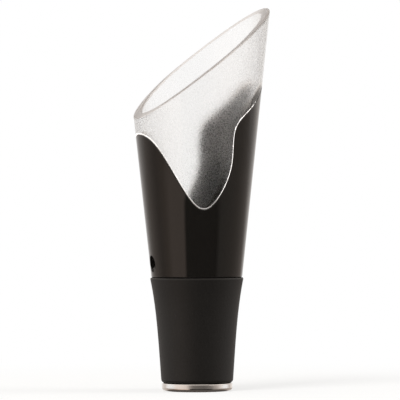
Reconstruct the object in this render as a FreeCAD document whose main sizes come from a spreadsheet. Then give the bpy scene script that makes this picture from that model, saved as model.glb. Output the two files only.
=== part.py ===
import FreeCAD, Part
import Sketcher
import math
import os

# Wine aerator pourer: a rubber bottle stopper carries a black moulded shell,
# and a clear funnel with a slanted lip stands in the shell behind a wave-shaped edge.
# Millimetres. The Z axis is the axis of the neck, and Z 0 is the face of the end ring.
# The low side of the lip and the air hole look along -X.

document = FreeCAD.newDocument("WinePourer")
sheet = document.addObject("Spreadsheet::Sheet", "Sizes")

# Driving sizes: name, value and meaning. A rise is a height above the seam of stopper and shell.
SIZES = [
    ("fit_gap", 0.05, "radial clearance between pieces that slide together"),
    ("cut_allowance", 3, "how far blanks and cuts run past the finished form"),
    ("ring_height", 1.9, "height of the end ring"),
    ("ring_wall", 1.45, "wall of the end ring"),
    ("ring_foot_round", 0.8, "radius on the outer foot of the end ring"),
    ("ring_top_round", 0.25, "radius on the outer top of the end ring"),
    ("stem_radius", 6.8, "outer radius of the stem inside the stopper"),
    ("stem_setback", 0.4, "height of the stem's foot above the ring's face"),
    ("wine_bore_radius", 4, "radius of the wine passage in the stem"),
    ("vent_width", 2.2, "width of the air return groove along the stem"),
    ("vent_depth", 1.1, "depth of the air return groove"),
    ("flange_width", 1.4, "how far the core's flange reaches past the stem"),
    ("flange_height", 1, "thickness of the core's flange"),
    ("nozzle_radius", 5.6, "outer radius of the nozzle"),
    ("nozzle_mouth_wall", 0.8, "wall of the nozzle at its mouth"),
    ("throat_radius", 2.6, "radius of the narrowest part of the nozzle"),
    ("narrowing_rise", 2.4, "rise where the wine passage starts to narrow"),
    ("throat_rise", 5.4, "rise where the throat begins"),
    ("throat_length", 1.6, "length of the throat"),
    ("port_radius", 0.6, "radius of each air port into the throat"),
    ("port_count", 4, "number of air ports"),
    ("seal_rim_width", 1.6, "how far the rim under the seal reaches past the nozzle"),
    ("seal_rim_height", 1, "thickness of the rim under the seal"),
    ("seal_height", 0.8, "thickness of the seal ring"),
    ("seal_margin", 0.2, "distance of the seal's edge from the rim's edge"),
    ("stopper_height", 24.7, "height of the stopper between ring and shell"),
    ("stopper_foot_wall", 1.55, "wall of the stopper at its foot"),
    ("stopper_low_wall", 2.15, "wall at the lower pull of the stopper's side curve"),
    ("stopper_low_rise", 8.6, "height of that pull above the ring"),
    ("stopper_high_wall", 2.55, "wall at the upper pull of the stopper's side curve"),
    ("stopper_high_rise", 17.1, "height of that pull above the ring"),
    ("stopper_lip_proud", 0.34, "how far the stopper's lip stands out past the shell"),
    ("stopper_foot_round", 0.9, "radius on the stopper's foot"),
    ("stopper_lip_round", 0.35, "radius on the stopper's lip"),
    ("seam_radius", 10.66, "outer radius of the shell at the seam"),
    ("flare_angle", 6.15, "degrees that the side leans outwards"),
    ("shell_wall", 1, "wall of the shell, measured level"),
    ("shell_floor", 1.2, "thickness of the shell's floor"),
    ("shell_foot_round", 0.45, "radius on the shell's foot"),
    ("shell_edge_round", 0.15, "radius along the shell's wave edge"),
    ("air_hole_radius", 1.95, "radius of the air hole in the shell"),
    ("air_hole_rise", 3.3, "rise of the air hole's centre"),
    ("edge_gap", 0.12, "shadow gap between the wave edge and the funnel's step"),
    ("step_edge_round", 0.3, "radius along the funnel's step"),
    ("collar_rise", 9.6, "rise of the underside of the funnel's collar"),
    ("collar_height", 1.8, "height of the collar round the nozzle's mouth"),
    ("skirt_rise", 13.6, "rise where the funnel's skirt begins"),
    ("funnel_rise", 16, "rise where the funnel's floor meets its side"),
    ("funnel_wall_low", 2.3, "wall of the funnel at its floor, measured level"),
    ("funnel_wall_high", 1.8, "wall of the funnel at the lip, measured level"),
    ("lip_round", 0.35, "radius along both edges of the lip"),
]

# The wave edge of the shell, seen from the side: across and rise of the poles of its curve,
# from the air hole's side, down into the trough, up the flank and over the back.
WAVE_POLES = [
    (-18.5, 34.5),
    (-14.4, 35.6),
    (-10.8, 28.6),
    (-6.2, 19.2),
    (-2.2, 14.3),
    (2.1, 19.0),
    (5.5, 26.8),
    (4.1, 36.0),
    (11.6, 39.6),
    (14.2, 45.3),
    (18.5, 48.4),
]

# The slanted lip, seen from the side: across and rise of the poles of its slight S curve.
LIP_POLES = [
    (-20.0, 32.6),
    (-9.2, 42.1),
    (-1.5, 48.6),
    (8.1, 55.7),
    (20.5, 66.4),
]

NEAR = 0.02  # how close an edge must lie to count as the one that is looked for
START, END, CENTRE = 1, 2, 3  # positions of a sketched line's or circle's own points
CUBIC = 3  # degree of the curves
SEAM = "Sizes.ring_height + Sizes.stopper_height"
STEM_HOLE = "Sizes.stem_radius + Sizes.fit_gap"
NOZZLE_HOLE = "Sizes.nozzle_radius + Sizes.fit_gap"
SEAL_RIM = "Sizes.nozzle_radius + Sizes.seal_rim_width"
FLANGE_TOP = "Sizes.shell_floor + Sizes.flange_height"
WAVE_TOP = "Sizes.wave_rise_%d + Sizes.cut_allowance" % (len(WAVE_POLES) - 1)
LIP_TOP = "Sizes.lip_rise_%d + Sizes.cut_allowance" % (len(LIP_POLES) - 1)


def fill_sheet():
    """Write every driving size to the sheet, one row each."""
    rows = list(SIZES)
    for name, poles in (("wave", WAVE_POLES), ("lip", LIP_POLES)):
        for number, (across, rise) in enumerate(poles):
            rows.append(("%s_across_%d" % (name, number), across, "pole of the %s curve, across" % name))
            rows.append(("%s_rise_%d" % (name, number), rise, "pole of the %s curve, rise" % name))
    for row, (name, value, meaning) in enumerate(rows, start=1):
        sheet.set("A%d" % row, name)
        sheet.set("B%d" % row, str(value))
        sheet.set("C%d" % row, meaning)
        sheet.setAlias("B%d" % row, name)
    document.recompute()


def above_seam(rise):
    """Expression of the level at a rise above the seam."""
    return "%s + (%s)" % (SEAM, rise)


def curve_poles(name, count, lift="0"):
    """The expressions of a curve's poles, in order, lifted by a distance."""
    poles = []
    for k in range(count):
        rise = "Sizes.%s_rise_%d + %s" % (name, k, lift)
        poles.append(("Sizes.%s_across_%d" % (name, k), above_seam(rise)))
    return poles


def flared(rise, inset="0"):
    """Expression of the flared side's radius at a rise, less an inset."""
    return "Sizes.seam_radius + (%s) * tan(Sizes.flare_angle) - (%s)" % (rise, inset)


def inset_of(point):
    """How far a point lies inside the flared side."""
    rise = point.z - sheet.get("ring_height") - sheet.get("stopper_height")
    outside = sheet.get("seam_radius") + rise * math.tan(math.radians(sheet.get("flare_angle")))
    return outside - math.hypot(point.x, point.y)


def new_body(label):
    """A body whose label names its piece."""
    body = document.addObject("PartDesign::Body", "Body_" + label)
    body.Label = label
    return body


def new_sketch(body, name, plane):
    """A sketch on one of the body's own origin planes."""
    sketch = body.newObject("Sketcher::SketchObject", name)
    support = [feature for feature in body.Origin.OriginFeatures if feature.Role == plane][0]
    sketch.AttachmentSupport = [(support, "")]
    sketch.MapMode = "FlatFace"
    return sketch


def bind_point(sketch, geometry, position, point):
    """Tie one point of a sketch to the expressions of its two coordinates."""
    for kind, expression in zip(("DistanceX", "DistanceY"), point):
        index = sketch.addConstraint(Sketcher.Constraint(kind, -1, 1, geometry, position, 1.0))
        sketch.setExpression("Constraints[%d]" % index, expression)


def draw_outline(sketch, corners, curves=None):
    """Draw a closed outline. curves gives the inner poles of the side that starts at a corner."""
    curves = curves or {}
    count = len(corners)
    reach = sheet.get("seam_radius")
    first_guess = []
    for k in range(count):
        angle = 2 * math.pi * k / count
        first_guess.append(FreeCAD.Vector(reach * math.cos(angle), reach * math.sin(angle), 0))
    sides = []
    for k in range(count):
        start, end = first_guess[k], first_guess[(k + 1) % count]
        inner = curves.get(k, [])
        if inner:
            steps = len(inner) + 1
            guess = [start + (end - start) * (n / steps) for n in range(steps + 1)]
            curve = Part.BSplineCurve()
            curve.buildFromPoles(guess, False, CUBIC)
            geometry = sketch.addGeometry(curve, False)
            sketch.exposeInternalGeometry(geometry)
            for n, pole in enumerate([corners[k]] + inner):
                bind_point(sketch, geometry + 1 + n, CENTRE, pole)
        else:
            geometry = sketch.addGeometry(Part.LineSegment(start, end), False)
            bind_point(sketch, geometry, START, corners[k])
        sides.append(geometry)
    for k in range(count):
        following = sides[(k + 1) % count]
        sketch.addConstraint(Sketcher.Constraint("Coincident", sides[k], END, following, START))


def turn(body, name, corners, curves=None):
    """Turn a closed outline once round the Z axis."""
    sketch = new_sketch(body, name + "_outline", "XZ_Plane")
    draw_outline(sketch, corners, curves)
    feature = body.newObject("PartDesign::Revolution", name)
    feature.Profile = sketch
    feature.ReferenceAxis = (sketch, ["V_Axis"])
    feature.Angle = 360
    body.Tip = feature
    document.recompute()
    return feature


def keep_cut(body, feature):
    """Make a cut the body's tip, and stop if it takes nothing away."""
    body.Tip = feature
    document.recompute()
    removed = feature.BaseFeature.Shape.Volume - feature.Shape.Volume
    print("%s takes away %.1f mm3" % (feature.Name, removed))
    if removed <= 0:
        raise RuntimeError("%s cuts nothing" % feature.Name)


def trim_above(body, name, poles, top):
    """Cut away all that lies above a curve drawn from the side, up to the blank's top."""
    reach = flared(top, "-Sizes.cut_allowance")
    over = above_seam(top + " + Sizes.cut_allowance")
    corners = [
        poles[0],
        poles[-1],
        (reach, poles[-1][1]),
        (reach, over),
        ("-(%s)" % reach, over),
        ("-(%s)" % reach, poles[0][1]),
    ]
    sketch = new_sketch(body, name + "_outline", "XZ_Plane")
    draw_outline(sketch, corners, {0: poles[1:-1]})
    feature = body.newObject("PartDesign::Pocket", name)
    feature.Profile = sketch
    feature.Type = "ThroughAll"
    feature.Midplane = True
    keep_cut(body, feature)


def round_edges(body, name, picked, radius):
    """Round picked edges of the body's last feature."""
    base = body.Tip
    feature = body.newObject("PartDesign::Fillet", name)
    feature.Base = (base, ["Edge%d" % number for number in picked])
    feature.setExpression("Radius", radius)
    body.Tip = feature
    document.recompute()


def circle_edges(shape, radius, level):
    """Numbers of the full circles of one radius at one level."""
    picked = []
    for number, edge in enumerate(shape.Edges, start=1):
        if edge.Curve.TypeId != "Part::GeomCircle" or not edge.isClosed():
            continue
        if abs(edge.Curve.Radius - radius) < NEAR and abs(edge.Curve.Center.z - level) < NEAR:
            picked.append(number)
    return picked


def trimmed_edges(shape, outer_only):
    """Numbers of the edges between the highest trimmed surface and the flared sides beside it."""
    trimmed = [face for face in shape.Faces if face.Surface.TypeId == "Part::GeomSurfaceOfExtrusion"]
    highest = max(face.CenterOfMass.z for face in trimmed)
    trimmed = [face for face in trimmed if highest - face.CenterOfMass.z < NEAR]
    picked = []
    for number, edge in enumerate(shape.Edges, start=1):
        owners = [face for face in trimmed if any(edge.isSame(other) for other in face.Edges)]
        middle = edge.valueAt((edge.FirstParameter + edge.LastParameter) / 2)
        if len(owners) == 1 and (not outer_only or abs(inset_of(middle)) < NEAR):
            picked.append(number)
    return picked


def make_end_ring():
    """Bright metal ring pressed on the stem's foot. The pourer stands on its face."""
    body = new_body("end_ring")
    outside = STEM_HOLE + " + Sizes.ring_wall"
    turn(
        body,
        "RingBlank",
        [
            (STEM_HOLE, "0"),
            (outside, "0"),
            (outside, "Sizes.ring_height"),
            (STEM_HOLE, "Sizes.ring_height"),
        ],
    )
    radius = sheet.get("stem_radius") + sheet.get("fit_gap") + sheet.get("ring_wall")
    round_edges(body, "RingFootRound", circle_edges(body.Tip.Shape, radius, 0), "Sizes.ring_foot_round")
    top = circle_edges(body.Tip.Shape, radius, sheet.get("ring_height"))
    round_edges(body, "RingTopRound", top, "Sizes.ring_top_round")


def make_stopper():
    """Rubber sleeve with a gently curved taper, stretched on the stem between ring and shell."""
    body = new_body("stopper")
    turn(
        body,
        "StopperBlank",
        [
            (STEM_HOLE, "Sizes.ring_height"),
            (STEM_HOLE + " + Sizes.stopper_foot_wall", "Sizes.ring_height"),
            ("Sizes.seam_radius + Sizes.stopper_lip_proud", SEAM),
            (STEM_HOLE, SEAM),
        ],
        {
            1: [
                (STEM_HOLE + " + Sizes.stopper_low_wall", "Sizes.ring_height + Sizes.stopper_low_rise"),
                (STEM_HOLE + " + Sizes.stopper_high_wall", "Sizes.ring_height + Sizes.stopper_high_rise"),
            ]
        },
    )
    foot_radius = sheet.get("stem_radius") + sheet.get("fit_gap") + sheet.get("stopper_foot_wall")
    foot = circle_edges(body.Tip.Shape, foot_radius, sheet.get("ring_height"))
    round_edges(body, "StopperFootRound", foot, "Sizes.stopper_foot_round")
    lip_radius = sheet.get("seam_radius") + sheet.get("stopper_lip_proud")
    lip_level = sheet.get("ring_height") + sheet.get("stopper_height")
    lip = circle_edges(body.Tip.Shape, lip_radius, lip_level)
    round_edges(body, "StopperLipRound", lip, "Sizes.stopper_lip_round")


def make_core():
    """Aerator core: stem, flange and a nozzle whose throat draws in air."""
    body = new_body("aerator_core")
    floor_top = above_seam("Sizes.shell_floor")
    flange_top = above_seam(FLANGE_TOP)
    flange_edge = "Sizes.stem_radius + Sizes.flange_width"
    rim_top = above_seam("Sizes.collar_rise - Sizes.seal_height")
    rim_foot = rim_top + " - Sizes.seal_rim_height"
    mouth = above_seam("Sizes.collar_rise + Sizes.collar_height")
    turn(
        body,
        "CoreBlank",
        [
            ("Sizes.wine_bore_radius", "Sizes.stem_setback"),
            ("Sizes.stem_radius", "Sizes.stem_setback"),
            ("Sizes.stem_radius", floor_top),
            (flange_edge, floor_top),
            (flange_edge, flange_top),
            ("Sizes.nozzle_radius", flange_top),
            ("Sizes.nozzle_radius", rim_foot),
            (SEAL_RIM, rim_foot),
            (SEAL_RIM, rim_top),
            ("Sizes.nozzle_radius", rim_top),
            ("Sizes.nozzle_radius", mouth),
            ("Sizes.nozzle_radius - Sizes.nozzle_mouth_wall", mouth),
            ("Sizes.throat_radius", above_seam("Sizes.throat_rise + Sizes.throat_length")),
            ("Sizes.throat_radius", above_seam("Sizes.throat_rise")),
            ("Sizes.wine_bore_radius", above_seam("Sizes.narrowing_rise")),
        ],
    )

    groove = new_sketch(body, "VentGroove_outline", "XY_Plane")
    groove_floor = "-(Sizes.stem_radius - Sizes.vent_depth)"
    groove_mouth = "-(%s)" % STEM_HOLE
    draw_outline(
        groove,
        [
            (groove_mouth, "-Sizes.vent_width / 2"),
            (groove_floor, "-Sizes.vent_width / 2"),
            (groove_floor, "Sizes.vent_width / 2"),
            (groove_mouth, "Sizes.vent_width / 2"),
        ],
    )
    vent = body.newObject("PartDesign::Pocket", "VentGroove")
    vent.Profile = groove
    vent.Reversed = True
    vent.setExpression("Length", flange_top)
    keep_cut(body, vent)

    port = bore_sideways(
        body,
        "AirPort",
        "Sizes.port_radius",
        above_seam("Sizes.throat_rise + Sizes.throat_length / 2"),
        "Sizes.nozzle_radius + Sizes.cut_allowance",
    )
    ports = body.newObject("PartDesign::PolarPattern", "AirPorts")
    ports.Originals = [port]
    ports.Axis = (port.Profile[0], ["V_Axis"])
    ports.Angle = 360
    ports.setExpression("Occurrences", "Sizes.port_count")
    keep_cut(body, ports)


def bore_sideways(body, name, radius, level, length):
    """Bore a round hole from the Z axis out through the side that looks along -X."""
    sketch = new_sketch(body, name + "_outline", "YZ_Plane")
    circle = Part.Circle(FreeCAD.Vector(0, sheet.get("seam_radius"), 0), FreeCAD.Vector(0, 0, 1), 1)
    geometry = sketch.addGeometry(circle, False)
    bind_point(sketch, geometry, CENTRE, ("0", level))
    index = sketch.addConstraint(Sketcher.Constraint("Radius", geometry, 1.0))
    sketch.setExpression("Constraints[%d]" % index, radius)
    hole = body.newObject("PartDesign::Pocket", name)
    hole.Profile = sketch
    hole.setExpression("Length", length)
    keep_cut(body, hole)
    return hole


def make_seal():
    """Flat silicone ring squeezed between the core's rim and the funnel's collar."""
    body = new_body("seal_ring")
    foot = above_seam("Sizes.collar_rise - Sizes.seal_height")
    top = above_seam("Sizes.collar_rise")
    edge = SEAL_RIM + " - Sizes.seal_margin"
    turn(body, "SealBlank", [(NOZZLE_HOLE, foot), (edge, foot), (edge, top), (NOZZLE_HOLE, top)])


def make_shell():
    """Black moulded cup with a wave-shaped edge, a floor for the core and a side air hole."""
    body = new_body("shell")
    floor_top = above_seam("Sizes.shell_floor")
    turn(
        body,
        "ShellBlank",
        [
            (STEM_HOLE, SEAM),
            ("Sizes.seam_radius", SEAM),
            (flared(WAVE_TOP), above_seam(WAVE_TOP)),
            (flared(WAVE_TOP, "Sizes.shell_wall"), above_seam(WAVE_TOP)),
            (flared("Sizes.shell_floor", "Sizes.shell_wall"), floor_top),
            (STEM_HOLE, floor_top),
        ],
    )
    trim_above(body, "WaveEdge", curve_poles("wave", len(WAVE_POLES)), WAVE_TOP)
    outside = flared("Sizes.air_hole_rise", "-Sizes.cut_allowance")
    bore_sideways(body, "AirHole", "Sizes.air_hole_radius", above_seam("Sizes.air_hole_rise"), outside)
    level = sheet.get("ring_height") + sheet.get("stopper_height")
    foot = circle_edges(body.Tip.Shape, sheet.get("seam_radius"), level)
    round_edges(body, "ShellFootRound", foot, "Sizes.shell_foot_round")
    wave = trimmed_edges(body.Tip.Shape, outer_only=True)
    round_edges(body, "ShellEdgeRound", wave, "Sizes.shell_edge_round")


def make_rebate():
    """The layer of the funnel that gives way to the shell: not a piece, only a cutter."""
    body = new_body("shell_rebate")
    inset = "Sizes.shell_wall + Sizes.fit_gap"
    turn(
        body,
        "RebateBlank",
        [
            (flared("0", inset), SEAM),
            (flared("0", "-Sizes.cut_allowance"), SEAM),
            (flared(WAVE_TOP, "-Sizes.cut_allowance"), above_seam(WAVE_TOP)),
            (flared(WAVE_TOP, inset), above_seam(WAVE_TOP)),
        ],
    )
    trim_above(body, "RebateEdge", curve_poles("wave", len(WAVE_POLES), "Sizes.edge_gap"), WAVE_TOP)
    return body


def make_spout(rebate):
    """Clear funnel: flush with the shell above the wave, a skirt and a funnel floor inside it."""
    body = new_body("spout")
    turn(
        body,
        "SpoutBlank",
        [
            (NOZZLE_HOLE, above_seam("Sizes.collar_rise")),
            (SEAL_RIM, above_seam("Sizes.collar_rise")),
            (flared("Sizes.skirt_rise"), above_seam("Sizes.skirt_rise")),
            (flared(LIP_TOP), above_seam(LIP_TOP)),
            (flared(LIP_TOP, "Sizes.funnel_wall_high"), above_seam(LIP_TOP)),
            (flared("Sizes.funnel_rise", "Sizes.funnel_wall_low"), above_seam("Sizes.funnel_rise")),
            (NOZZLE_HOLE, above_seam("Sizes.collar_rise + Sizes.collar_height")),
        ],
    )
    step = body.newObject("PartDesign::Boolean", "StepForShell")
    step.Type = "Cut"
    step.setObjects([rebate])
    keep_cut(body, step)
    wave = trimmed_edges(body.Tip.Shape, outer_only=True)
    round_edges(body, "StepEdgeRound", wave, "Sizes.step_edge_round")
    trim_above(body, "SlantedLip", curve_poles("lip", len(LIP_POLES)), LIP_TOP)
    round_edges(body, "LipRound", trimmed_edges(body.Tip.Shape, outer_only=False), "Sizes.lip_round")


def check_document():
    """Stop on any object that failed or any piece without one valid solid."""
    for thing in document.Objects:
        if "Invalid" in thing.State or "Error" in thing.State:
            raise RuntimeError("%s failed: %s" % (thing.Label, thing.State))
    for label in PIECES:
        shape = document.getObjectsByLabel(label)[0].Shape
        if shape.isNull() or not shape.isValid() or len(shape.Solids) != 1:
            raise RuntimeError("%s is not one valid solid" % label)


def write_pieces():
    """Write one STEP file for each piece."""
    os.makedirs("parts", exist_ok=True)
    for label in PIECES:
        shape = document.getObjectsByLabel(label)[0].Shape
        shape.exportStep("parts/%s.step" % label)
        box = shape.BoundBox
        print("%-14s volume %8.1f mm3, z %.2f to %.2f" % (label, shape.Volume, box.ZMin, box.ZMax))


PIECES = ["end_ring", "stopper", "aerator_core", "seal_ring", "shell", "spout"]

fill_sheet()
make_end_ring()
make_stopper()
make_core()
make_seal()
make_shell()
make_spout(make_rebate())
document.recompute()
check_document()
write_pieces()
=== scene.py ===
# %% [markdown]
# A wine aerator pourer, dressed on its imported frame.
# The frame gives every piece at its real size and place, so nothing is fitted by eye. This lesson
# adds what the frame lacks: the finish of each piece, a small white studio to light it, and a
# camera at the photograph's angle. Lengths are metres, so sizes in millimetres carry * MM.

# %% Load the frame and note its box
import math

import bmesh
import bpy
from mathutils import Matrix, Vector


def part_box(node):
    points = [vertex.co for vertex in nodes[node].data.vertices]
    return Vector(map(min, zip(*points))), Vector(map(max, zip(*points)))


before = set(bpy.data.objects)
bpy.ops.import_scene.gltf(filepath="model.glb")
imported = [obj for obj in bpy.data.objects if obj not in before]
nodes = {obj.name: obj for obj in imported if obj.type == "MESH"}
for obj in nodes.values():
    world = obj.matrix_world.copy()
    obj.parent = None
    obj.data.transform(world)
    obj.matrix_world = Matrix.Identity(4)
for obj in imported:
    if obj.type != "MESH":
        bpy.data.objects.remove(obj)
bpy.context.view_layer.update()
MM = 0.001
print("pieces on the frame:", ", ".join(sorted(nodes)))

# %% [markdown]
# Every finish here is a small tree of nodes. Building one takes the same few steps each time, so
# four helpers hold them: one turns a written colour into light, one adds a node with its settings
# and its links, one opens an empty material, and one gives a material to a piece.

# %% Write the helpers
def linear(code):
    """Turn an sRGB hex colour into linear light, by the numbers of the sRGB standard."""
    parts = [int(code[i:i + 2], 16) / 255 for i in (1, 3, 5)]
    return tuple(c / 12.92 if c <= 0.04045 else ((c + 0.055) / 1.055) ** 2.4 for c in parts) + (1.0,)


def add_node(tree, kind, settings=None, values=None, links=None):
    """Add a node, set its properties and socket values, and link its inputs."""
    node = tree.nodes.new(kind)
    for name, value in (settings or {}).items():
        setattr(node, name, value)
    for socket, value in (values or {}).items():
        node.inputs[socket].default_value = value
    for socket, source in (links or {}).items():
        tree.links.new(source, node.inputs[socket])
    return node


def new_material(name):
    """A material with an empty tree and its output node."""
    material = bpy.data.materials.new(name)
    material.use_nodes = True
    material.node_tree.nodes.clear()
    output = add_node(material.node_tree, "ShaderNodeOutputMaterial")
    return material, material.node_tree, output


def dress(name, material):
    """Give one piece of the frame its finish."""
    nodes[name].data.materials.clear()
    nodes[name].data.materials.append(material)
    print(material.name, "on", name, "with", len(nodes[name].data.polygons), "faces")


print("middle grey as light:", round(linear("#808080")[0], 3))

# %% [markdown]
# The camera stands 0.9 m away, level, and looks past the low side of the lip.
# Its place was solved from outlines in the photograph: the seam, the two rims of the lip, the air
# hole and the foot. A long lens keeps the sides of the cone almost straight, as they are there.
# The shift only slides the picture until the horizon and the axis of the piece lie where they do
# in the photograph, because tilting the camera instead would make upright lines lean.

# %% Place the camera
CAMERA_DISTANCE = 900 * MM
CAMERA_HEIGHT = 47.6 * MM
CAMERA_TURN = math.radians(17.88)
CAMERA_ROLL = math.radians(0.21)
SENSOR_WIDTH = 36  # millimetres, as the lens is
PHOTO_WIDTH = 400
FOCAL_PIXELS = 3834.6
AXIS_COLUMN = 196.5
HORIZON_ROW = 187.9
FAR_CLIP = 100  # metres

camera_data = bpy.data.cameras.new("camera")
camera_data.sensor_width = SENSOR_WIDTH
camera_data.lens = FOCAL_PIXELS * SENSOR_WIDTH / PHOTO_WIDTH
camera_data.shift_x = (PHOTO_WIDTH / 2 - AXIS_COLUMN) / PHOTO_WIDTH
camera_data.shift_y = (HORIZON_ROW - PHOTO_WIDTH / 2) / PHOTO_WIDTH
camera_data.clip_end = FAR_CLIP
camera = bpy.data.objects.new("camera", camera_data)
bpy.context.scene.collection.objects.link(camera)
aim = Matrix.Rotation(-CAMERA_TURN, 4, "Z") @ Matrix.Rotation(math.pi / 2, 4, "X")
aim = aim @ Matrix.Rotation(-CAMERA_ROLL, 4, "Z")
stand = Vector((-math.sin(CAMERA_TURN), -math.cos(CAMERA_TURN), 0)) * CAMERA_DISTANCE
camera.matrix_world = Matrix.Translation(stand + Vector((0, 0, CAMERA_HEIGHT))) @ aim
bpy.context.scene.camera = camera
print("lens:", round(camera_data.lens, 1), "mm")
print("shift:", round(camera_data.shift_x, 4), round(camera_data.shift_y, 4))

# %% [markdown]
# Black gloss plastic and steel show little but their surroundings, so the studio is drawn as
# rings of tones round the object, like card panels in a real tent. A camera low in front sees the
# tapered sides mirror what lies about 12 degrees below them, and the upright metal what is level,
# so the low ring paints the plastic and the level ring the metal. Above them is a pale ceiling and
# under them a grey carpet. Each panel is an angle seen from above, counted from the camera to its
# right, and the tone there. They were set from the stripes in the photograph.

# %% Name the tones round the object
LOW_PANELS = [
    (-180, "#ffffff"), (-150, "#cfc8c2"), (-118, "#b4a79e"), (-92, "#92837a"), (-74, "#ad998b"),
    (-60, "#d8c2b4"), (-30, "#d8c2b4"), (-24, "#1c1a18"), (48, "#1c1a18"), (56, "#7e7872"),
    (100, "#968a81"), (130, "#aea29a"), (152, "#b4aaa2"), (180, "#ffffff"),
]
LEVEL_PANELS = [
    (-180, "#ffffff"), (-150, "#e2dbd6"), (-128, "#d3cbc5"), (-112, "#ffffff"), (-90, "#ffffff"),
    (-72, "#f6ece5"), (-38, "#e2d7d0"), (-22, "#9c938d"), (-12, "#7a736e"), (24, "#6b6662"),
    (48, "#8a837e"), (68, "#b8afa9"), (84, "#eee6e0"), (98, "#ffffff"), (112, "#ffffff"),
    (128, "#c8c0ba"), (150, "#f0e8e1"), (180, "#ffffff"),
]
CEILING = "#fff5ec"
CARPET = "#544e4a"
print("panels round the object:", len(LOW_PANELS), "low,", len(LEVEL_PANELS), "level")

# %% [markdown]
# The panels could be lit cards, but a world shader needs no mesh: it knows in which direction a ray
# leaves, and answers with a tone. The ray's bearing, turned so that 0 faces the camera, becomes a
# share of the full circle, and that share picks the tone from a colour ramp.

# %% Draw the two rings of panels
world = bpy.data.worlds.new("studio")
bpy.context.scene.world = world
world.use_nodes = True
tree = world.node_tree
tree.nodes.clear()
sky = add_node(tree, "ShaderNodeTexCoord")
turned = add_node(
    tree, "ShaderNodeVectorRotate", {"rotation_type": "Z_AXIS"}, {"Angle": CAMERA_TURN},
    {"Vector": sky.outputs["Generated"]},
)
split = add_node(tree, "ShaderNodeSeparateXYZ", links={"Vector": turned.outputs["Vector"]})
front = add_node(
    tree, "ShaderNodeMath", {"operation": "MULTIPLY"}, {1: -1.0}, {0: split.outputs["Y"]}
)
bearing = add_node(
    tree, "ShaderNodeMath", {"operation": "ARCTAN2"},
    links={0: split.outputs["X"], 1: front.outputs[0]},
)
share = add_node(
    tree, "ShaderNodeMapRange", values={"From Min": -math.pi, "From Max": math.pi},
    links={"Value": bearing.outputs[0]},
)
rings = []
for panels in (LOW_PANELS, LEVEL_PANELS):
    ring = add_node(tree, "ShaderNodeValToRGB", links={"Fac": share.outputs["Result"]})
    stops = ring.color_ramp.elements
    while len(stops) < len(panels):
        stops.new(0.5)  # anywhere, because each stop is placed below
    for stop, (degrees, colour) in zip(stops, panels):
        stop.position = (degrees + 180) / 360
        stop.color = linear(colour)
    rings.append(ring.outputs["Color"])
print("rings in the world:", len(rings))

# %% [markdown]
# From the ground up lie four bands: carpet, low ring, level ring, ceiling. The height of a ray's
# direction is the sine of its elevation, so that sine decides how far each band has given way to
# the next. The further apart a join's two elevations lie, the softer it looks in the gloss.

# %% Stack the bands from carpet to ceiling
BAND_EDGES = [(-32, -24), (-5.5, -4), (20, 30)]  # degrees above the horizon
# A Mix node names its sockets alike for numbers and for colours, so these go by number.
FIRST_COLOUR, SECOND_COLOUR, MIXED_COLOUR = 6, 7, 2

bands = [linear(CARPET), rings[0], rings[1], linear(CEILING)]
room = bands[0]
for band, (lower, upper) in zip(bands[1:], BAND_EDGES):
    rise = add_node(
        tree, "ShaderNodeMapRange",
        values={"From Min": math.sin(math.radians(lower)), "From Max": math.sin(math.radians(upper))},
        links={"Value": split.outputs["Z"]},
    )
    join = add_node(tree, "ShaderNodeMix", {"data_type": "RGBA"}, links={0: rise.outputs["Result"]})
    for socket, tone in ((FIRST_COLOUR, room), (SECOND_COLOUR, band)):
        if isinstance(tone, tuple):
            join.inputs[socket].default_value = tone
        else:
            tree.links.new(tone, join.inputs[socket])
    room = join.outputs[MIXED_COLOUR]
print("bands in the world:", len(bands), "in", len(tree.nodes), "nodes")

# %% [markdown]
# Only mirrored rays and rays that pass through the clear plastic see the rings. The camera itself
# sees white, which gives the photograph's cut-out background, and all other light is one plain
# pale grey, so that a colour renders about as it is written.

# %% Show each kind of ray its own surroundings
PLAIN_LIGHT = 0.55

path = add_node(tree, "ShaderNodeLightPath")
mirrored = add_node(
    tree, "ShaderNodeMath", {"operation": "MAXIMUM"},
    links={0: path.outputs["Is Glossy Ray"], 1: path.outputs["Is Transmission Ray"]},
)
plain = add_node(
    tree, "ShaderNodeBackground", values={"Color": linear("#f4f2ef"), "Strength": PLAIN_LIGHT}
)
around = add_node(tree, "ShaderNodeBackground", values={"Strength": 1.0}, links={"Color": room})
white = add_node(tree, "ShaderNodeBackground", values={"Color": (1, 1, 1, 1), "Strength": 1.0})
shiny = add_node(
    tree, "ShaderNodeMixShader",
    links={0: mirrored.outputs[0], 1: plain.outputs[0], 2: around.outputs[0]},
)
seen = add_node(
    tree, "ShaderNodeMixShader",
    links={0: path.outputs["Is Camera Ray"], 1: shiny.outputs[0], 2: white.outputs[0]},
)
add_node(tree, "ShaderNodeOutputWorld", links={"Surface": seen.outputs[0]})
print("plain light:", PLAIN_LIGHT)

# %% [markdown]
# Two soft lamps give the rubber its gentle roundness and cast the shadow. One large window of
# light on the left would do, but the right side would then sink away, so a second lamp of half
# the power fills it. Neither shows in the gloss or the clear plastic, where only panels should.

# %% Hang two soft lamps
LAMP_SIDE = 500 * MM
MIDDLE = Vector((0, 0, 45 * MM))
# Each lamp has a name, a place in metres and its watts.
LAMPS = [("key_lamp", (-0.75, -0.55, 0.75), 6.0), ("fill_lamp", (0.85, -0.35, 0.55), 3.0)]

for name, spot, watts in LAMPS:
    light = bpy.data.lights.new(name, "AREA")
    light.size = LAMP_SIDE
    light.energy = watts
    lamp = bpy.data.objects.new(name, light)
    bpy.context.scene.collection.objects.link(lamp)
    lamp.location = spot
    lamp.rotation_euler = (MIDDLE - Vector(spot)).to_track_quat("-Z", "Y").to_euler()
    lamp.visible_glossy = False
    lamp.visible_transmission = False
    print(name, "stands", round((MIDDLE - Vector(spot)).length, 2), "m away")

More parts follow.
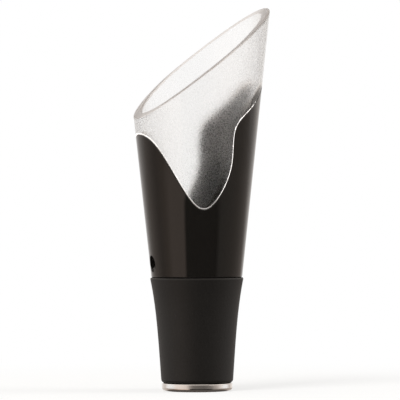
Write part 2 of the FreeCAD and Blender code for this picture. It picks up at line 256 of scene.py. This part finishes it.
# %% [markdown]
# The floor is pale studio paint. The photograph's background is pure white, yet an object without
# a shadow seems to float. So near the object the floor shows a share of its real shading, and the
# glow makes up what is missing to white: lit paint plus glow is white, and only where the object
# keeps light off the paint does it turn grey. The share fades out to nothing further away.

# %% Mix the floor's paint and its glow
SHADOW_SHARE = 0.5
LIT_PAINT = 0.77  # how bright the paint renders where nothing shades it
SHADOW_REACH = 45 * MM
SHADOW_END = 160 * MM
MOTTLE_WIDTH = 40 * MM

floor_material, tree, output = new_material("matt_studio_floor_paint")
place = add_node(tree, "ShaderNodeTexCoord")
spread = add_node(
    tree, "ShaderNodeVectorMath", {"operation": "LENGTH"}, links={0: place.outputs["Object"]}
)
near = add_node(
    tree, "ShaderNodeMapRange", {"interpolation_type": "SMOOTHSTEP"},
    {"From Min": SHADOW_REACH, "From Max": SHADOW_END, "To Min": SHADOW_SHARE, "To Max": 0.0},
    {"Value": spread.outputs["Value"]},
)
missing = add_node(
    tree, "ShaderNodeMath", {"operation": "MULTIPLY_ADD"}, {1: -LIT_PAINT, 2: 1.0},
    {0: near.outputs["Result"]},
)
mottle = add_node(
    tree, "ShaderNodeTexNoise", values={"Scale": 1 / MOTTLE_WIDTH, "Detail": 1.0},
    links={"Vector": place.outputs["Object"]},
)
tint = add_node(
    tree, "ShaderNodeMix", {"data_type": "RGBA"},
    {FIRST_COLOUR: linear("#f1f0ee"), SECOND_COLOUR: linear("#f4f3f1")},
    {0: mottle.outputs["Fac"]},
)
paint = add_node(tree, "ShaderNodeBsdfDiffuse", links={"Color": tint.outputs[MIXED_COLOUR]})
dark = add_node(tree, "ShaderNodeBsdfDiffuse", values={"Color": (0, 0, 0, 1)})
shaded = add_node(
    tree, "ShaderNodeMixShader",
    links={0: near.outputs["Result"], 1: dark.outputs[0], 2: paint.outputs[0]},
)
glow = add_node(
    tree, "ShaderNodeEmission", values={"Color": (1, 1, 1, 1)}, links={"Strength": missing.outputs[0]}
)
clean = add_node(tree, "ShaderNodeAddShader", links={0: shaded.outputs[0], 1: glow.outputs[0]})
path = add_node(tree, "ShaderNodeLightPath")
seen = add_node(
    tree, "ShaderNodeMath", {"operation": "MAXIMUM"},
    links={0: path.outputs["Is Camera Ray"], 1: path.outputs["Is Transmission Ray"]},
)
mixed = add_node(
    tree, "ShaderNodeMixShader", links={0: seen.outputs[0], 1: paint.outputs[0], 2: clean.outputs[0]}
)
tree.links.new(mixed.outputs[0], output.inputs["Surface"])
print("the shadow fades out", round(SHADOW_END / MM), "mm from the axis")

# %% [markdown]
# The floor itself is one square of a grid, wide enough that no view sees its edge. It is staging,
# not a piece of the object, and it stays out of the gloss, where only the panels should show.

# %% Lay the floor
FLOOR_HALF = 3.0  # metres

shape = bmesh.new()
bmesh.ops.create_grid(shape, x_segments=1, y_segments=1, size=FLOOR_HALF)
floor_mesh = bpy.data.meshes.new("studio_floor")
shape.to_mesh(floor_mesh)
shape.free()
floor_mesh.materials.append(floor_material)
floor = bpy.data.objects.new("studio_floor", floor_mesh)
bpy.context.scene.collection.objects.link(floor)
floor.visible_glossy = False
print("floor:", 2 * FLOOR_HALF, "m wide")

# %% [markdown]
# The shell is ABS, injection moulded in a polished tool. That gives a deep black with a hard clear
# gloss. Two things keep it from looking like painted glass: the plastic sinks by a few hundredths
# of a millimetre as it cools, so mirrored edges waver slightly, and handling leaves a faint haze
# that makes some places a little less sharp. The first is a bump, the second a changing roughness.

# %% Mould the black shell
ABS_IOR = 1.53
SINK_WIDTH = 9 * MM
SINK_DEPTH = 0.02 * MM
SINK_STRENGTH = 0.1
HAZE_WIDTH = 3 * MM
CLEAN_BELOW, TOUCHED_ABOVE = 0.35, 0.7  # values of the noise
SHARP, HAZY = 0.045, 0.11  # roughness where it is clean and where it was touched

shell_material, tree, output = new_material("black_gloss_moulded_abs")
place = add_node(tree, "ShaderNodeTexCoord")
waves = add_node(
    tree, "ShaderNodeTexNoise", values={"Scale": 1 / SINK_WIDTH, "Detail": 2.0},
    links={"Vector": place.outputs["Object"]},
)
bump = add_node(
    tree, "ShaderNodeBump", values={"Strength": SINK_STRENGTH, "Distance": SINK_DEPTH},
    links={"Height": waves.outputs["Fac"]},
)
handling = add_node(
    tree, "ShaderNodeTexNoise", values={"Scale": 1 / HAZE_WIDTH, "Detail": 4.0},
    links={"Vector": place.outputs["Object"]},
)
haze = add_node(
    tree, "ShaderNodeMapRange",
    values={
        "From Min": CLEAN_BELOW, "From Max": TOUCHED_ABOVE,
        "To Min": SHARP, "To Max": HAZY,
    },
    links={"Value": handling.outputs["Fac"]},
)
abs_plastic = add_node(
    tree, "ShaderNodeBsdfPrincipled", values={"Base Color": linear("#1a1816"), "IOR": ABS_IOR},
    links={"Normal": bump.outputs["Normal"], "Roughness": haze.outputs["Result"]},
)
tree.links.new(abs_plastic.outputs[0], output.inputs["Surface"])
dress("shell", shell_material)

# %% [markdown]
# The aerator core sits inside and is seen only down the funnel and through the foot. It is the
# same ABS, but its tool was left with the fine pitted skin of spark erosion, which is cheaper than
# a polish. The pits scatter the light, so it looks satin and a little greyer than the shell.

# %% Mould the satin core
PIT_WIDTH = 0.25 * MM  # real pits are about 0.03 mm, drawn coarser so that they show
PIT_DEPTH = 0.015 * MM
PIT_STRENGTH = 0.4
NOISE_LOW, NOISE_HIGH = 0.3, 0.7  # nearly all of a noise lies between these
SATIN_LOW, SATIN_HIGH = 0.28, 0.42  # roughness between and inside the pits

core_material, tree, output = new_material("black_satin_moulded_abs")
place = add_node(tree, "ShaderNodeTexCoord")
pits = add_node(
    tree, "ShaderNodeTexNoise", values={"Scale": 1 / PIT_WIDTH, "Detail": 2.0},
    links={"Vector": place.outputs["Object"]},
)
bump = add_node(
    tree, "ShaderNodeBump", values={"Strength": PIT_STRENGTH, "Distance": PIT_DEPTH},
    links={"Height": pits.outputs["Fac"]},
)
satin_look = add_node(
    tree, "ShaderNodeMapRange",
    values={
        "From Min": NOISE_LOW, "From Max": NOISE_HIGH,
        "To Min": SATIN_LOW, "To Max": SATIN_HIGH,
    },
    links={"Value": pits.outputs["Fac"]},
)
satin = add_node(
    tree, "ShaderNodeBsdfPrincipled", values={"Base Color": linear("#1c1b19"), "IOR": ABS_IOR},
    links={"Normal": bump.outputs["Normal"], "Roughness": satin_look.outputs["Result"]},
)
tree.links.new(satin.outputs[0], output.inputs["Surface"])
dress("aerator_core", core_material)

# %% [markdown]
# The seal is a flat ring of silicone, pressed in a heated tool. Silicone is milky rather than
# opaque: light goes a little way in and comes out softened, which a touch of subsurface light
# gives. Its skin is smooth but draws fine dust, so its colour and its roughness wander.

# %% Press the silicone seal
DUST_WIDTH = 0.4 * MM  # dust is finer than this, drawn coarser so that it shows
SILICONE_IOR = 1.41
MILKINESS = 0.3
MILK_DEPTH = 0.5 * MM
CLEAN_SKIN, DUSTY_SKIN = 0.35, 0.65  # roughness

seal_material, tree, output = new_material("grey_pressed_silicone")
place = add_node(tree, "ShaderNodeTexCoord")
dust = add_node(
    tree, "ShaderNodeTexNoise", values={"Scale": 1 / DUST_WIDTH, "Detail": 3.0},
    links={"Vector": place.outputs["Object"]},
)
bloom = add_node(
    tree, "ShaderNodeMix", {"data_type": "RGBA"},
    {FIRST_COLOUR: linear("#bfbdb9"), SECOND_COLOUR: linear("#cbc9c5")}, {0: dust.outputs["Fac"]},
)
skin = add_node(
    tree, "ShaderNodeMapRange", values={"To Min": CLEAN_SKIN, "To Max": DUSTY_SKIN},
    links={"Value": dust.outputs["Fac"]},
)
silicone = add_node(
    tree, "ShaderNodeBsdfPrincipled",
    values={
        "IOR": SILICONE_IOR, "Subsurface Weight": MILKINESS, "Subsurface Scale": MILK_DEPTH,
        "Subsurface Radius": (1.0, 0.9, 0.8),
    },
    links={"Base Color": bloom.outputs[MIXED_COLOUR], "Roughness": skin.outputs["Result"]},
)
tree.links.new(silicone.outputs[0], output.inputs["Surface"])
dress("seal_ring", seal_material)

# %% [markdown]
# The stopper is vulcanised rubber, pressed in a blasted steel tool that leaves a fine matt grain.
# Rubber has almost no gloss, only a soft brightening where it is seen at a low angle. Waxes creep
# to its surface in time and leave faint paler clouds, so its black isn't the same all over.

# %% Vulcanise the rubber stopper
RUBBER_GRAIN = 0.45 * MM  # the blasted grain is about 0.15 mm, drawn coarser so that it shows
RUBBER_GRAIN_DEPTH = 0.05 * MM
RUBBER_GRAIN_STRENGTH = 0.6
CLOUD_WIDTH = 5 * MM
RUBBER_IOR = 1.5
RUBBER_ROUGHNESS = 0.55

rubber_material, tree, output = new_material("black_vulcanised_rubber")
place = add_node(tree, "ShaderNodeTexCoord")
grain = add_node(
    tree, "ShaderNodeTexNoise", values={"Scale": 1 / RUBBER_GRAIN, "Detail": 3.0},
    links={"Vector": place.outputs["Object"]},
)
bump = add_node(
    tree, "ShaderNodeBump", values={"Strength": RUBBER_GRAIN_STRENGTH, "Distance": RUBBER_GRAIN_DEPTH},
    links={"Height": grain.outputs["Fac"]},
)
clouds = add_node(
    tree, "ShaderNodeTexNoise", values={"Scale": 1 / CLOUD_WIDTH, "Detail": 4.0},
    links={"Vector": place.outputs["Object"]},
)
wax = add_node(
    tree, "ShaderNodeMix", {"data_type": "RGBA"},
    {FIRST_COLOUR: linear("#151311"), SECOND_COLOUR: linear("#1a1816")}, {0: clouds.outputs["Fac"]},
)
rubber = add_node(
    tree, "ShaderNodeBsdfPrincipled", values={"Roughness": RUBBER_ROUGHNESS, "IOR": RUBBER_IOR},
    links={"Normal": bump.outputs["Normal"], "Base Color": wax.outputs[MIXED_COLOUR]},
)
tree.links.new(rubber.outputs[0], output.inputs["Surface"])
dress("stopper", rubber_material)

# %% [markdown]
# The end ring is stainless steel, turned on a lathe. The tool leaves one fine spiral groove, seen
# as lines round the ring. Distance from the axis plus height grows all the way along the face and
# up the side, so that sum is the groove's own coordinate, and noise along it draws lines of
# uneven depth that follow the ring with no texture map to wrap. The base colour of a metal says
# what it mirrors, so the shader's IOR keeps its default.

# %% Turn the steel end ring
FEED = 0.2 * MM  # a real feed of about 0.08 mm is too fine to show, so it is drawn coarser
GROOVE_DEPTH = 0.004 * MM
GROOVE_STRENGTH = 0.6
RIDGE_SHINE, GROOVE_SHINE = 0.1, 0.2  # roughness

steel_material, tree, output = new_material("turned_stainless_steel")
place = add_node(tree, "ShaderNodeTexCoord")
split = add_node(tree, "ShaderNodeSeparateXYZ", links={"Vector": place.outputs["Object"]})
flat = add_node(
    tree, "ShaderNodeCombineXYZ", links={"X": split.outputs["X"], "Y": split.outputs["Y"]}
)
radius = add_node(
    tree, "ShaderNodeVectorMath", {"operation": "LENGTH"}, links={0: flat.outputs["Vector"]}
)
along = add_node(
    tree, "ShaderNodeMath", {"operation": "ADD"},
    links={0: radius.outputs["Value"], 1: split.outputs["Z"]},
)
grooves = add_node(
    tree, "ShaderNodeTexNoise", {"noise_dimensions": "1D"}, {"Scale": 1 / FEED, "Detail": 1.0},
    {"W": along.outputs[0]},
)
bump = add_node(
    tree, "ShaderNodeBump", values={"Strength": GROOVE_STRENGTH, "Distance": GROOVE_DEPTH},
    links={"Height": grooves.outputs["Fac"]},
)
polish = add_node(
    tree, "ShaderNodeMapRange",
    values={
        "From Min": NOISE_LOW, "From Max": NOISE_HIGH,
        "To Min": RIDGE_SHINE, "To Max": GROOVE_SHINE,
    },
    links={"Value": grooves.outputs["Fac"]},
)
steel = add_node(
    tree, "ShaderNodeBsdfPrincipled", values={"Base Color": linear("#f2efec"), "Metallic": 1.0},
    links={"Normal": bump.outputs["Normal"], "Roughness": polish.outputs["Result"]},
)
tree.links.new(steel.outputs[0], output.inputs["Surface"])
dress("end_ring", steel_material)

# %% [markdown]
# The funnel is clear acrylic, moulded in one piece, and it is the hardest finish here. The tool
# was polished outside, so that wall is glossy. The bowl inside was blasted to a fine matt grain,
# so the dark shell behind it blurs to a soft shape. The lip is left dull by the parting of the
# tool and tinted grey-brown with painted shade. The step over the wave edge carries a painted
# glow that stands for the light running down inside the clear wall. Both draw fine pale lines.
# One glass shader could not show all four, so one function makes acrylic with a grain of any
# size, and a dull share that stands for light scattered at the skin. Rays that look for a lamp pass
# straight through, as a true shadow of clear plastic is pale.

# %% Write the clear acrylic
ACRYLIC_IOR = 1.49


def clear_acrylic(name, colour, roughness, grain_width, grain_depth, dull_share):
    """Clear acrylic with a grain on its skin. The dull share is scattered there, not let through."""
    material, tree, output = new_material(name)
    place = add_node(tree, "ShaderNodeTexCoord")
    grain = add_node(
        tree, "ShaderNodeTexNoise", values={"Scale": 1 / grain_width, "Detail": 0.5},
        links={"Vector": place.outputs["Object"]},
    )
    bump = add_node(
        tree, "ShaderNodeBump", values={"Strength": 1.0, "Distance": grain_depth},
        links={"Height": grain.outputs["Fac"]},
    )
    acrylic = add_node(
        tree, "ShaderNodeBsdfPrincipled", {"name": "acrylic"},
        {
            "Base Color": linear(colour), "Roughness": roughness, "IOR": ACRYLIC_IOR,
            "Transmission Weight": 1.0 - dull_share,
        },
        {"Normal": bump.outputs["Normal"]},
    )
    path = add_node(tree, "ShaderNodeLightPath")
    through = add_node(tree, "ShaderNodeBsdfTransparent", values={"Color": linear("#f4f3f0")})
    lit = add_node(
        tree, "ShaderNodeMixShader",
        links={0: path.outputs["Is Shadow Ray"], 1: acrylic.outputs[0], 2: through.outputs[0]},
    )
    tree.links.new(lit.outputs[0], output.inputs["Surface"])
    print(name, "roughness", roughness, "grain", round(grain_width / MM, 2), "mm")
    return material


# %% [markdown]
# The outer wall was moulded against polished steel, so all that bends its shine is the slow waver
# of shrinking plastic. A clear coat over a rougher wall would shine as well, but it would blur
# what is seen through the wall. Only the bowl should do that, so this wall is smooth all through.

# %% Mould the polished wall
POLISHED_ROUGHNESS = 0.02
WAVER_WIDTH = 6 * MM
WAVER_DEPTH = 0.01 * MM

polished = clear_acrylic(
    "clear_acrylic_polished", "#ffffff", POLISHED_ROUGHNESS, WAVER_WIDTH, WAVER_DEPTH, 0.0
)

# %% [markdown]
# Blasting hits the bowl's tool at random, so some specks come out rougher than others. A noise on
# the roughness draws them. They show only where something dark behind the wall meets something
# light, because a rough speck mixes the two and a smooth one shows either. A deep bump would give
# specks as well, but it bends the light as hammered glass does.

# %% Frost and speckle the bowl
FROST_GRAIN = 0.35 * MM  # the grit was about 0.1 mm, drawn coarser so that it shows
FROST_DEPTH = 0.015 * MM
FROST_ROUGHNESS = 0.28
SPECK_WIDTH = 0.3 * MM  # as coarse as the grain, for the same reason
SPECK_LOW, SPECK_HIGH = 0.35, 0.65  # values of the noise
LEAST_BLASTED, MOST_BLASTED = 0.2, 0.34  # roughness

frosted = clear_acrylic(
    "clear_acrylic_frosted", "#fffefd", FROST_ROUGHNESS, FROST_GRAIN, FROST_DEPTH, 0.0
)
tree = frosted.node_tree
place = add_node(tree, "ShaderNodeTexCoord")
specks = add_node(
    tree, "ShaderNodeTexNoise", values={"Scale": 1 / SPECK_WIDTH, "Detail": 1.0},
    links={"Vector": place.outputs["Object"]},
)
blasted = add_node(
    tree, "ShaderNodeMapRange",
    values={
        "From Min": SPECK_LOW, "From Max": SPECK_HIGH,
        "To Min": LEAST_BLASTED, "To Max": MOST_BLASTED,
    },
    links={"Value": specks.outputs["Fac"]},
)
tree.links.new(blasted.outputs["Result"], tree.nodes["acrylic"].inputs["Roughness"])
print("specks:", round(SPECK_WIDTH / MM, 2), "mm")

# %% [markdown]
# The lip and the step are narrow edges, the places of a tool that are hardest to polish. At the
# lip the dull skin scatters about two fifths of the light, and its grey-brown colour is painted
# shade that stands for the shading of the cut edge, so it reads as a pale brownish band.
# At the step it scatters nearly all, so the step hides what lies behind it and draws a thin line.

# %% Mould the dull lip and the step
EDGE_GRAIN = 0.3 * MM  # drawn coarser than the tool's marks so that it shows
EDGE_DEPTH = 0.02 * MM
LIP_ROUGHNESS, LIP_DULL = 0.3, 0.4
STEP_ROUGHNESS, STEP_DULL = 0.35, 0.95

# The lip's colour #e2d9d3 is painted shade: a grey-brown tint darker than clear acrylic.
lip = clear_acrylic(
    "clear_acrylic_lip_dull_with_painted_shade", "#e2d9d3", LIP_ROUGHNESS, EDGE_GRAIN, EDGE_DEPTH, LIP_DULL
)
step = clear_acrylic(
    "clear_acrylic_step_dull_and_painted_glow", "#fdfaf8", STEP_ROUGHNESS, EDGE_GRAIN, EDGE_DEPTH, STEP_DULL
)

# %% [markdown]
# Light that enters a clear wall is caught inside it and leaves where the wall ends, which is why
# the step draws a thin line brighter than anything round it. Following that light by chance would
# take thousands of samples, so the step is given a painted glow in its emission, though it is no
# lamp. The glow is painted as if the light came from the window on the left, so edges that face
# right glow most. It is painted weaker down into the trough, and it glows outwards only, because a
# glow back into the wall would fill it with bright specks.

# %% Paint a glow on the step
# These numbers shape the painted glow on the step: where it starts, where it is full, how strong it is
# and which side it favours.
PAINTED_GLOW_FOOT = 44 * MM  # below this height the step is dark
PAINTED_GLOW_TOP = 50 * MM  # and above this one it glows fully
PAINTED_GLOW_STRENGTH = 2.5
PAINTED_GLOW_RIGHTWARD = 0.6  # an edge lets out most when its normal leans this far to the right
LEAST_PAINTED_GLOW = 0.3

tree = step.node_tree
place = add_node(tree, "ShaderNodeTexCoord")
split = add_node(tree, "ShaderNodeSeparateXYZ", links={"Vector": place.outputs["Object"]})
painted_glow_height = add_node(
    tree, "ShaderNodeMapRange", values={"From Min": PAINTED_GLOW_FOOT, "From Max": PAINTED_GLOW_TOP},
    links={"Value": split.outputs["Z"]},
)
surface = add_node(tree, "ShaderNodeNewGeometry")
facing = add_node(tree, "ShaderNodeSeparateXYZ", links={"Vector": surface.outputs["Normal"]})
painted_glow_side = add_node(
    tree, "ShaderNodeMapRange",
    values={"From Min": -PAINTED_GLOW_RIGHTWARD, "From Max": PAINTED_GLOW_RIGHTWARD, "To Min": LEAST_PAINTED_GLOW},
    links={"Value": facing.outputs["X"]},
)
painted_glow_share = add_node(
    tree, "ShaderNodeMath", {"operation": "MULTIPLY"},
    links={0: painted_glow_height.outputs["Result"], 1: painted_glow_side.outputs["Result"]},
)
painted_glow_front = add_node(
    tree, "ShaderNodeMath", {"operation": "SUBTRACT"}, {0: 1.0}, {1: surface.outputs["Backfacing"]}
)
painted_glow_outwards = add_node(
    tree, "ShaderNodeMath", {"operation": "MULTIPLY"},
    links={0: painted_glow_share.outputs[0], 1: painted_glow_front.outputs[0]},
)
# The painted glow's colour: near black where none is painted, warm white where it is full.
painted_glow_colour = add_node(
    tree, "ShaderNodeMix", {"data_type": "RGBA"},
    {FIRST_COLOUR: linear("#1c1a18"), SECOND_COLOUR: linear("#fffaf6")}, {0: painted_glow_outwards.outputs[0]},
)
acrylic = tree.nodes["acrylic"]
acrylic.inputs["Emission Strength"].default_value = PAINTED_GLOW_STRENGTH
tree.links.new(painted_glow_colour.outputs[MIXED_COLOUR], acrylic.inputs["Emission Color"])
print("the step glows fully from", round(PAINTED_GLOW_TOP / MM), "mm up")

# %% [markdown]
# One mesh can carry several finishes: each has a slot, and each face keeps the number of its slot.
# The slots are filled before the faces are sorted, because emptying them sets every face back to
# the first slot.

# %% Give the funnel its finishes
funnel = nodes["spout"].data
funnel.materials.clear()
finishes = {"polished": polished, "frosted": frosted, "lip": lip, "step": step}
for material in finishes.values():
    funnel.materials.append(material)
print("finishes on the funnel:", ", ".join(finishes))

# %% [markdown]
# Every face of the outer wall lies on one cone and looks straight out of it. How deep a face lies
# inside that cone, and how far it turns from it, tell the bowl, the lip and the step apart. The
# depth is the mean of a face's corners, because the middle of a broad flat face lies deeper than
# the curve it stands for. Picking faces by number would break with the next change of size.

# %% Tell the funnel's faces apart
SEAM_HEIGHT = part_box("shell")[0][2]
SEAM_RADIUS = 10.66 * MM  # of the flared wall at that height
FLARE = math.radians(6.15)  # how far the wall leans out
STEP_DEPTH = 0.35 * MM  # the step lies less deep than this
BOWL_DEPTH = 1.4 * MM  # the bowl lies deeper than this
WALL_TURN = math.radians(12)  # a face that turns further than this is on an edge
BETWEEN_HEIGHT = 71.2 * MM  # where the plane between wave and lip crosses the axis
BETWEEN_SLOPE = 0.6  # how steeply that plane rises to the right


def wall_depth(point):
    """How far a point lies inside the flared outer wall, measured level."""
    wall_radius = SEAM_RADIUS + (point.z - SEAM_HEIGHT) * math.tan(FLARE)
    return wall_radius - math.hypot(point.x, point.y)


def wall_normal(point):
    """The direction in which the flared wall faces at a point."""
    level = Vector((point.x, point.y, 0)).normalized()
    return level * math.cos(FLARE) - Vector((0, 0, math.sin(FLARE)))


def finish_of(face):
    """Name the finish of one face. A sloping plane between wave and lip parts step from lip."""
    depths = [wall_depth(funnel.vertices[corner].co) for corner in face.vertices]
    depth = sum(depths) / len(depths)
    facing = face.normal.dot(wall_normal(face.center))
    above_wave = face.center.z > BETWEEN_HEIGHT + BETWEEN_SLOPE * face.center.x
    turned_away = abs(facing) < math.cos(WALL_TURN)
    if turned_away and above_wave:
        return "lip"
    if turned_away and depth < STEP_DEPTH:
        return "step"
    if depth > BOWL_DEPTH and facing < 0:
        return "frosted"
    return "polished"


print("finish of the first face:", finish_of(funnel.polygons[0]))

# %% [markdown]
# Now each face gets the number of its finish. The counts are printed, because a size that no
# longer fits the mesh would show there first, as a finish with no faces.

# %% Sort the funnel's faces
slots = {name: number for number, name in enumerate(finishes)}
counts = dict.fromkeys(finishes, 0)
for face in funnel.polygons:
    finish = finish_of(face)
    face.material_index = slots[finish]
    counts[finish] += 1
print("faces of the funnel:", counts)

# %% [markdown]
# The Standard view shows colours as they are written. The filmic views would grey the white
# background and lift the deep blacks, which are most of this object.

# %% Set the plain view
bpy.context.scene.view_settings.view_transform = "Standard"
print("view:", bpy.context.scene.view_settings.view_transform)
